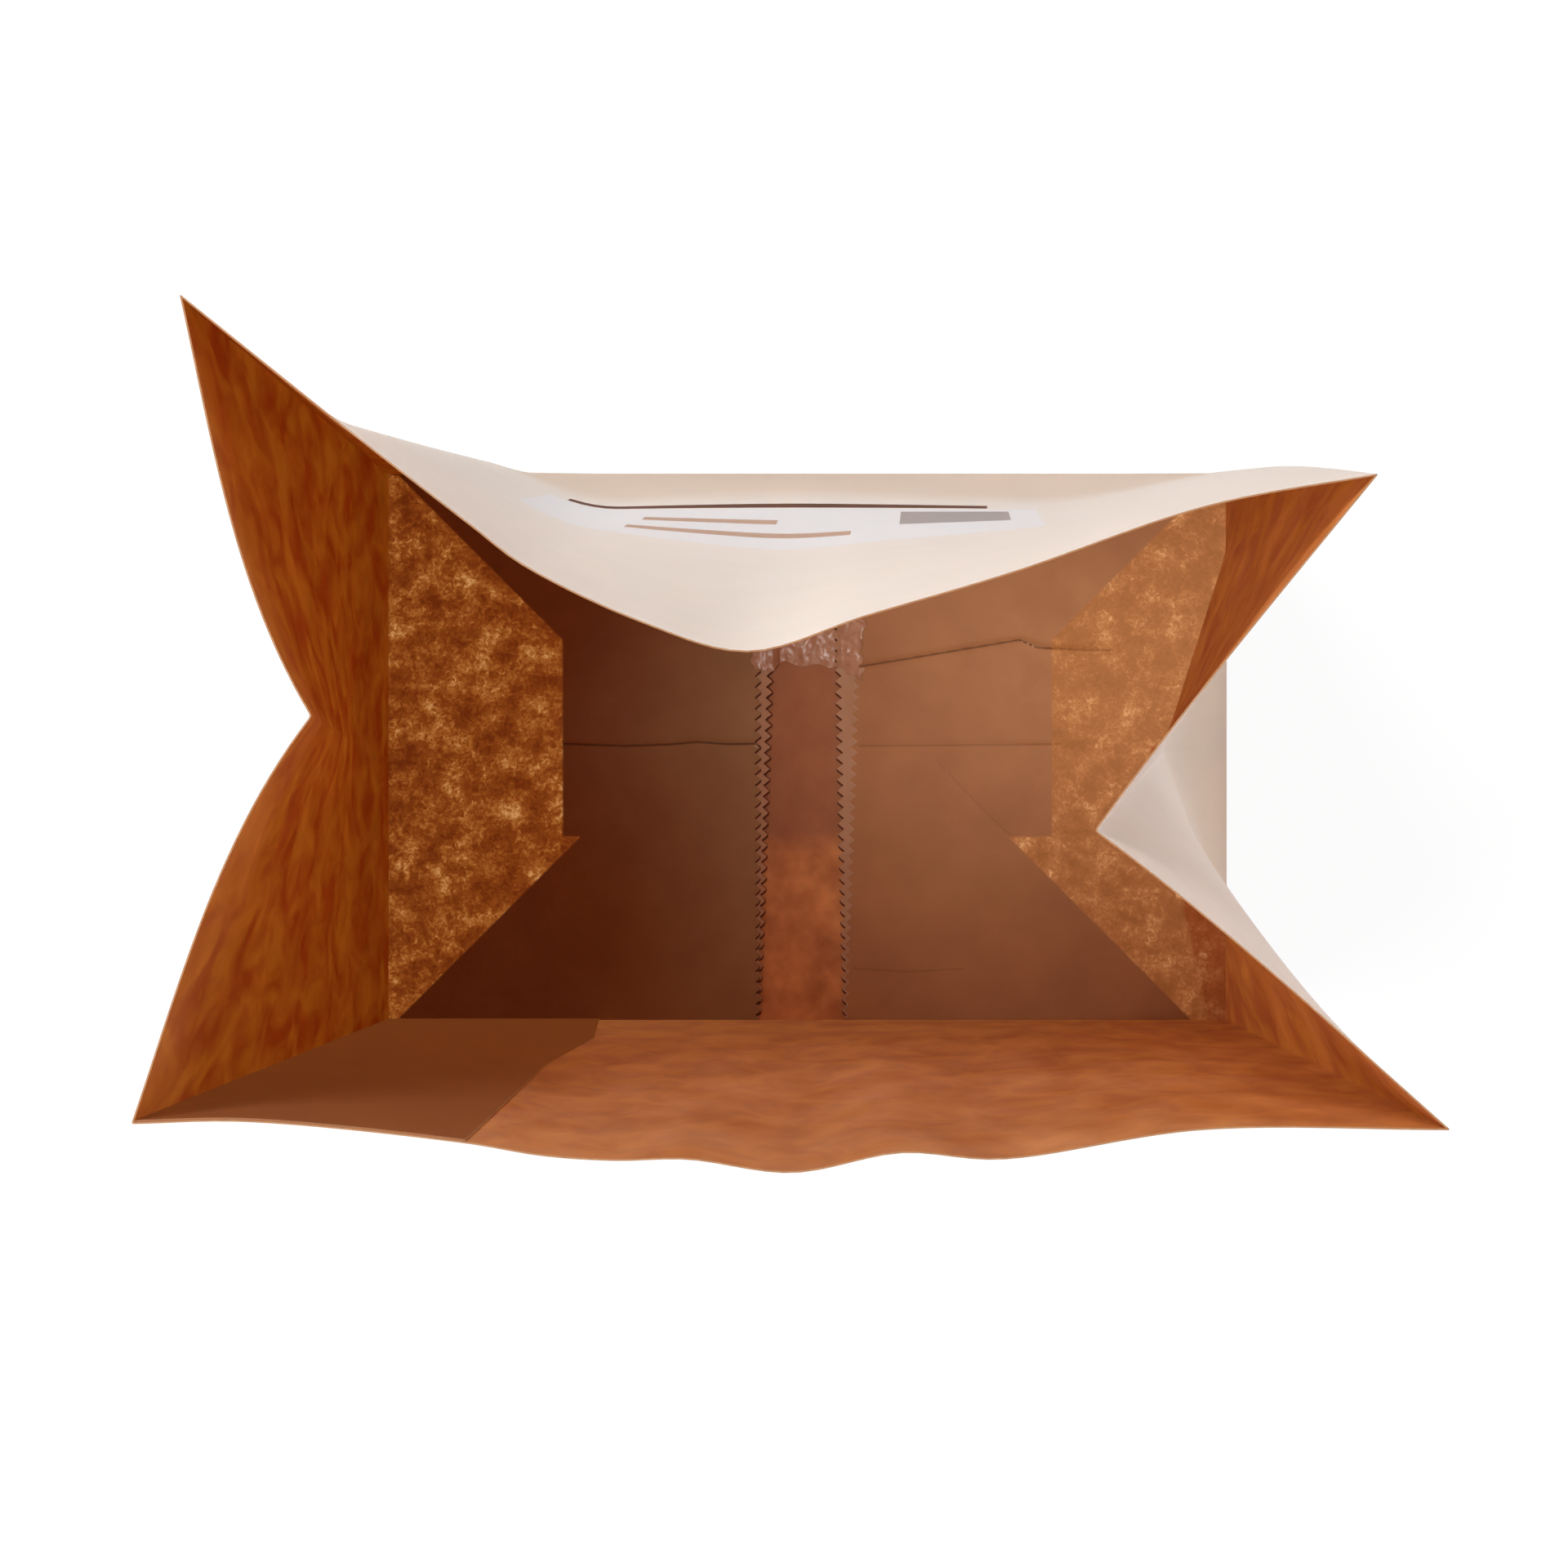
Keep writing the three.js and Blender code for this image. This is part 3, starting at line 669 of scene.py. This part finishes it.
def plain_kraft(name, size, dark, light, roughness=0.75):
    """Plain kraft, matt unless given smoother: clouds between two browns, and a little raised fibre."""
    material, tree = new_material(name)
    place = add(tree, "ShaderNodeTexCoord", {}).outputs["Object"]
    cloud = add(tree, "ShaderNodeTexNoise", {"Vector": place, "Scale": 1 / (size * MM), "Detail": 3})
    colour = add(tree, "ShaderNodeMix", {0: cloud, 6: linear(dark), 7: linear(light)}, data_type="RGBA")
    fibre = add(tree, "ShaderNodeTexNoise", {"Vector": place, "Scale": 1 / (KRAFT_FIBRE * MM), "Detail": 3})
    bump = add(tree, "ShaderNodeBump", {"Height": fibre, "Strength": 0.15, "Distance": FIBRE_RELIEF * MM})
    face = add(tree, "ShaderNodeBsdfPrincipled",
               {"Base Color": colour, "Roughness": roughness, "Normal": bump})
    add(tree, "ShaderNodeOutputMaterial", {"Surface": face})
    return material


def strip_kraft():
    """The strip left open between the side flaps: kraft, cloudier in front, where a layer ends, and painted
    warmer there as a glow.
    """
    material, tree = new_material("kraft_strip")
    place = add(tree, "ShaderNodeTexCoord", {}).outputs["Object"]
    y = add(tree, "ShaderNodeSeparateXYZ", {0: place}).outputs[1]
    front = add(tree, "ShaderNodeMapRange",
                {"Value": y, "From Min": (STRIP_SOFT - STRIP_LAYER) * MM,
                 "From Max": (-STRIP_SOFT - STRIP_LAYER) * MM})
    cloud = add(tree, "ShaderNodeTexNoise",
                {"Vector": place, "Scale": 1 / (STRIP_CLOUD * MM), "Detail": 3, "Roughness": 0.6})
    mottle = add(tree, "ShaderNodeMapRange", {"Value": cloud, "From Min": 0.28, "From Max": 0.72})
    back_colour = add(tree, "ShaderNodeMix",
                      {0: cloud, 6: linear("#935a35"), 7: linear("#b2764c")}, data_type="RGBA")
    # Painted glow: a warmer, brighter colour in front, for light through the single layer
    glow_colour = add(tree, "ShaderNodeMix",
                       {0: mottle, 6: linear("#aa6737"), 7: linear("#e29a5a")}, data_type="RGBA")
    colour = add(tree, "ShaderNodeMix", {0: front, 6: back_colour, 7: glow_colour}, data_type="RGBA")
    face = add(tree, "ShaderNodeBsdfPrincipled", {"Base Color": colour, "Roughness": 0.75})
    add(tree, "ShaderNodeOutputMaterial", {"Surface": face})
    return material


def cut_edge():
    """A cut edge: torn kraft fibres of the two plies, rough and brown, a fine line against the liner."""
    material, tree = new_material("cut_paper_edge")
    place = add(tree, "ShaderNodeTexCoord", {}).outputs["Object"]
    fibre = add(tree, "ShaderNodeTexNoise", {"Vector": place, "Scale": 1 / (EDGE_FIBRE * MM)})
    colour = add(tree, "ShaderNodeMix",
                 {0: fibre, 6: linear("#6f4a2e"), 7: linear("#8d6644")}, data_type="RGBA")
    face = add(tree, "ShaderNodeBsdfPrincipled", {"Base Color": colour, "Roughness": 0.9})
    add(tree, "ShaderNodeOutputMaterial", {"Surface": face})
    return material


CREAM = cream_liner()
WALL_KRAFT = wall_kraft()
SEAM_KRAFT = seam_kraft()
FLAP_KRAFT = flap_kraft()
STRIP_KRAFT = strip_kraft()
EDGE = cut_edge()

# At the toothed ends: the paler margin of the lower ply, a painted shadow below each tooth, dark on the
# ply's cut edge, and dried paste, which is smoother and shines a little
MARGIN_KRAFT = plain_kraft("kraft_margin", MARGIN_CLOUD, "#a97c57", "#bd9472")
TOOTH_SHADOW = plain_kraft("painted_tooth_shadow", TOOTH_SHADOW_CLOUD, "#46200d", "#5a2e16", 0.95)
PASTE = plain_kraft("dried_paste", PASTE_CLOUD, "#9c6c4c", "#cba081", 0.34)


def wall_rows():
    lower = [Y_FOLD * i / LOWER_ROWS for i in range(LOWER_ROWS)]
    count = round((WALL_LENGTH - Y_FOLD) / ROW_STEP)
    return lower + [Y_FOLD + (WALL_LENGTH - Y_FOLD) * i / count for i in range(count + 1)]


def bag_walls():
    us = []
    for start, end in zip(STARTS, STARTS[1:]):
        us += stations(start, end, WALL_STEP, (FOLD_ROUND / 2, FOLD_ROUND))
    piece = sheet("bag_walls", us + [AROUND], wall_rows(), wall, [CREAM, WALL_KRAFT, EDGE])
    bpy.ops.object.mode_set(mode="EDIT")
    bpy.ops.mesh.select_all(action="SELECT")
    bpy.ops.mesh.remove_doubles(threshold=WELD * MM)
    bpy.ops.object.mode_set(mode="OBJECT")
    thicken(piece, SHEET)
    settle(piece)


def seam_lap():
    """The lap of the length seam, inside the front panel by the left corner; it flares at the cross fold."""
    inward = Vector((0, SHEET + SEAM_GAP, 0))

    def at(across, v):
        width = SEAM_WIDTH + SEAM_FLARE * max(1 - abs(v - Y_FOLD) / Y_FOLD, 0)
        return wall(FOLD_ROUND + across * (width - FOLD_ROUND), v) + inward

    count = round(SEAM_WIDTH / WALL_STEP)
    piece = sheet("seam_lap", [i / count for i in range(count + 1)], wall_rows(), at, [SEAM_KRAFT] * 3)
    for corner in piece.data.uv_layers[0].data:
        corner.uv.x *= SEAM_WIDTH
    thicken(piece, SHEET)
    settle(piece)


def toothed(y):
    """How far the teeth of a cut stand out at y."""
    return TOOTH_DEPTH * abs((y / TOOTH_PITCH) % 1 * 2 - 1)


def ridge(x, y, path, height, half_width):
    """The height of a crease that runs along a path, at a point of the flap."""
    nearest = half_width
    for (ax, ay), (bx, by) in zip(path, path[1:]):
        run = (bx - ax) ** 2 + (by - ay) ** 2
        t = min(max(((x - ax) * (bx - ax) + (y - ay) * (by - ay)) / run, 0), 1)
        nearest = min(nearest, math.hypot(x - ax - t * (bx - ax), y - ay - t * (by - ay)))
    return height * (1 - nearest / half_width) ** 2


def relief(x, y):
    """How far the flaps stand up at a point: their creases, and a slow unevenness."""
    slow = SWELL * (1 + noise.noise((x / SWELL_SIZE, y / SWELL_SIZE, 0.5)))
    return slow + sum(ridge(x, y, path, height, half_width) for path, height, half_width, _ in CREASES)


def side_flap_ply(name, side, length, slant, top, face, cut):
    """One ply of a side flap, from the gusset's hinge to its toothed end, which curls up a little."""
    half = HALF_DEPTH - SHEET
    gusset = RIGHT_GUSSET if side > 0 else LEFT_GUSSET
    rows = round(2 * half / TOOTH_PITCH) * TOOTH_ROWS
    ys = [half * (2 * i / rows - 1) for i in range(rows + 1)]
    count = round(length / FLAP_STEP)
    ts = [i / count for i in range(count + 1)]
    if side > 0:
        ts.reverse()

    def at(t, y):
        lean = gusset["tip_in"] * (1 - abs(y) / HALF_DEPTH) ** gusset["lean_power"]
        hinge = HALF_WIDTH - SHEET - lean * top
        end = HALF_WIDTH - length - slant * y
        reach = end - toothed(y) if t == 1 else hinge + (end - hinge) * t
        near = max(1 - (reach - end) / CURL_LENGTH, 0) if t < 1 else 1
        lift = FLAP_CURL * near**2 * (CURL_MIDDLE + CURL_TO_BACK * y / half)
        x = side * reach
        z = top + lift + relief(x, y)
        return Vector((x, min(y, half - BACK_LEAN * z), z))

    piece = sheet(name, ts, ys, at, [face, CREAM, cut])
    top_points = len(piece.data.vertices)
    thicken(piece, PLY)
    # The cut face under each tooth leans forward so it shows from above, with the painted tooth shadow on it
    end_column = ts.index(1)
    for row in range(len(ys)):
        piece.data.vertices[top_points + row * len(ts) + end_column].co.y -= TOOTH_LEAN * MM
    settle(piece)


def end_flap(name, side, top):
    """The front (side -1) or back (side 1) flap: 45 degree edges from the base's corners to a toothed end."""
    hinge = HALF_DEPTH - SHEET
    columns = round((2 * (HALF_WIDTH - FLAP)) / TOOTH_PITCH) * TOOTH_ROWS
    ss = [2 * i / columns - 1 for i in range(columns + 1)]
    count = round(FLAP / FLAP_STEP)
    ts = [i / count for i in range(count + 1)]
    if side > 0:
        ts.reverse()

    def at(s, t):
        x = s * (HALF_WIDTH - SHEET - FLAP * t)
        reach = hinge - FLAP * t - (toothed(x) if t == 1 else 0)
        return Vector((x, side * reach, top))

    piece = sheet(name, ss, ts, at, [STRIP_KRAFT, CREAM, EDGE])
    thicken(piece, SHEET)
    settle(piece)


def paste_patch(top):
    """The crumpled, pasted end of the strip by the back panel, which runs over the side flaps' ends."""
    xs = [PASTE_HALF * (2 * i / PASTE_COLUMNS - 1) for i in range(PASTE_COLUMNS + 1)]
    ys = [PASTE_END + PASTE_LENGTH * i / PASTE_ROWS for i in range(PASTE_ROWS + 1)]

    ragged_by, ragged_size = PASTE_RAGGED
    frayed_by, frayed_size = PASTE_FRAYED

    def at(x, y):
        beside = max(2 * abs(x) / PASTE_HALF - 1, 0)
        ragged = ragged_by * noise.noise((x / ragged_size, 3.1, 0)) - PASTE_TAILS[x > 0] * beside
        y += ragged * (1 - (y - PASTE_END) / PASTE_LENGTH)
        fold = sum(part * noise.noise((x / wide, y / long, seed)) for part, wide, long, seed in PASTE_FOLDS)
        over = PASTE_OVER * min(4 * beside, 1) * (1 - PASTE_SINK * beside)
        frayed = frayed_by * beside * noise.noise((y / frayed_size, 7.3, x > 0))
        return Vector((x + frayed, y, top + over + PASTE_CRUMPLE * (PASTE_LEAST + abs(fold))))

    piece = sheet("paste_patch", xs, ys, at, [PASTE] * 3)
    thicken(piece, PLY)
    settle(piece)


bag_walls()
seam_lap()
end_flap("back_flap", 1, SHEET)
end_flap("front_flap", -1, 2 * SHEET)
for side, flap, plies in ((-1, "left_flap", LEFT_PLIES), (1, "right_flap", RIGHT_PLIES)):
    for number, (ply, step, slant) in enumerate(plies, 1):
        face = MARGIN_KRAFT if ply == "outer" else FLAP_KRAFT
        # Cut edges carry the painted tooth shadow, except the right inner ply's, which is paler
        cut = MARGIN_KRAFT if side > 0 and ply == "inner" else TOOTH_SHADOW
        level = 2 * SHEET + number * PLY
        side_flap_ply(f"{flap}_{ply}_ply", side, FLAP + step, slant, level, face, cut)
paste_patch(2 * SHEET)


def floor():
    """A white floor, a little brighter to the camera, so that only a faint shadow shows on it."""
    bpy.ops.object.select_all(action="DESELECT")
    bpy.ops.mesh.primitive_plane_add(size=FLOOR_SIZE, location=(0, 0, -FLOOR_DROP))
    piece = bpy.context.object
    piece.name = "floor"
    material, tree = new_material("white_floor")
    face = add(tree, "ShaderNodeBsdfDiffuse", {"Color": (FLOOR_WHITE, FLOOR_WHITE, FLOOR_WHITE, 1)})
    white = add(tree, "ShaderNodeEmission", {"Color": (1, 1, 1, 1), "Strength": 1})
    rays = add(tree, "ShaderNodeLightPath", {})
    seen = rays.outputs["Is Camera Ray"]
    for kind in ("Is Glossy Ray", "Is Transmission Ray"):
        seen = add(tree, "ShaderNodeMath", {0: seen, 1: rays.outputs[kind]}, operation="MAXIMUM")
    share_seen = add(tree, "ShaderNodeMath", {0: seen, 1: FLOOR_GLOW}, operation="MULTIPLY")
    both = add(tree, "ShaderNodeMixShader", {0: share_seen, 1: face, 2: white})
    add(tree, "ShaderNodeOutputMaterial", {"Surface": both})
    piece.data.materials.append(material)


def lamp(name, place, aim, size, power):
    data = bpy.data.lights.new(name, "AREA")
    data.size = size
    data.energy = power
    piece = bpy.data.objects.new(name, data)
    piece.location = place
    piece.rotation_euler = (Vector(aim) - Vector(place)).to_track_quat("-Z", "Y").to_euler()
    bpy.context.collection.objects.link(piece)


def studio():
    floor()
    for settings in LAMPS:
        lamp(*settings)
    world = bpy.data.worlds.new("studio")
    world.use_nodes = True
    world.node_tree.nodes["Background"].inputs["Color"].default_value = (1, 1, 1, 1)
    world.node_tree.nodes["Background"].inputs["Strength"].default_value = ROUND_LIGHT
    bpy.context.scene.world = world
    camera = bpy.data.cameras.new("camera")
    camera.lens = CAMERA_LENS
    camera.sensor_width = CAMERA_SENSOR
    eye = bpy.data.objects.new("camera", camera)
    eye.location = [c * MM for c in CAMERA_AT]
    bpy.context.collection.objects.link(eye)
    bpy.context.scene.camera = eye
    bpy.context.scene.view_settings.view_transform = "Standard"


studio()
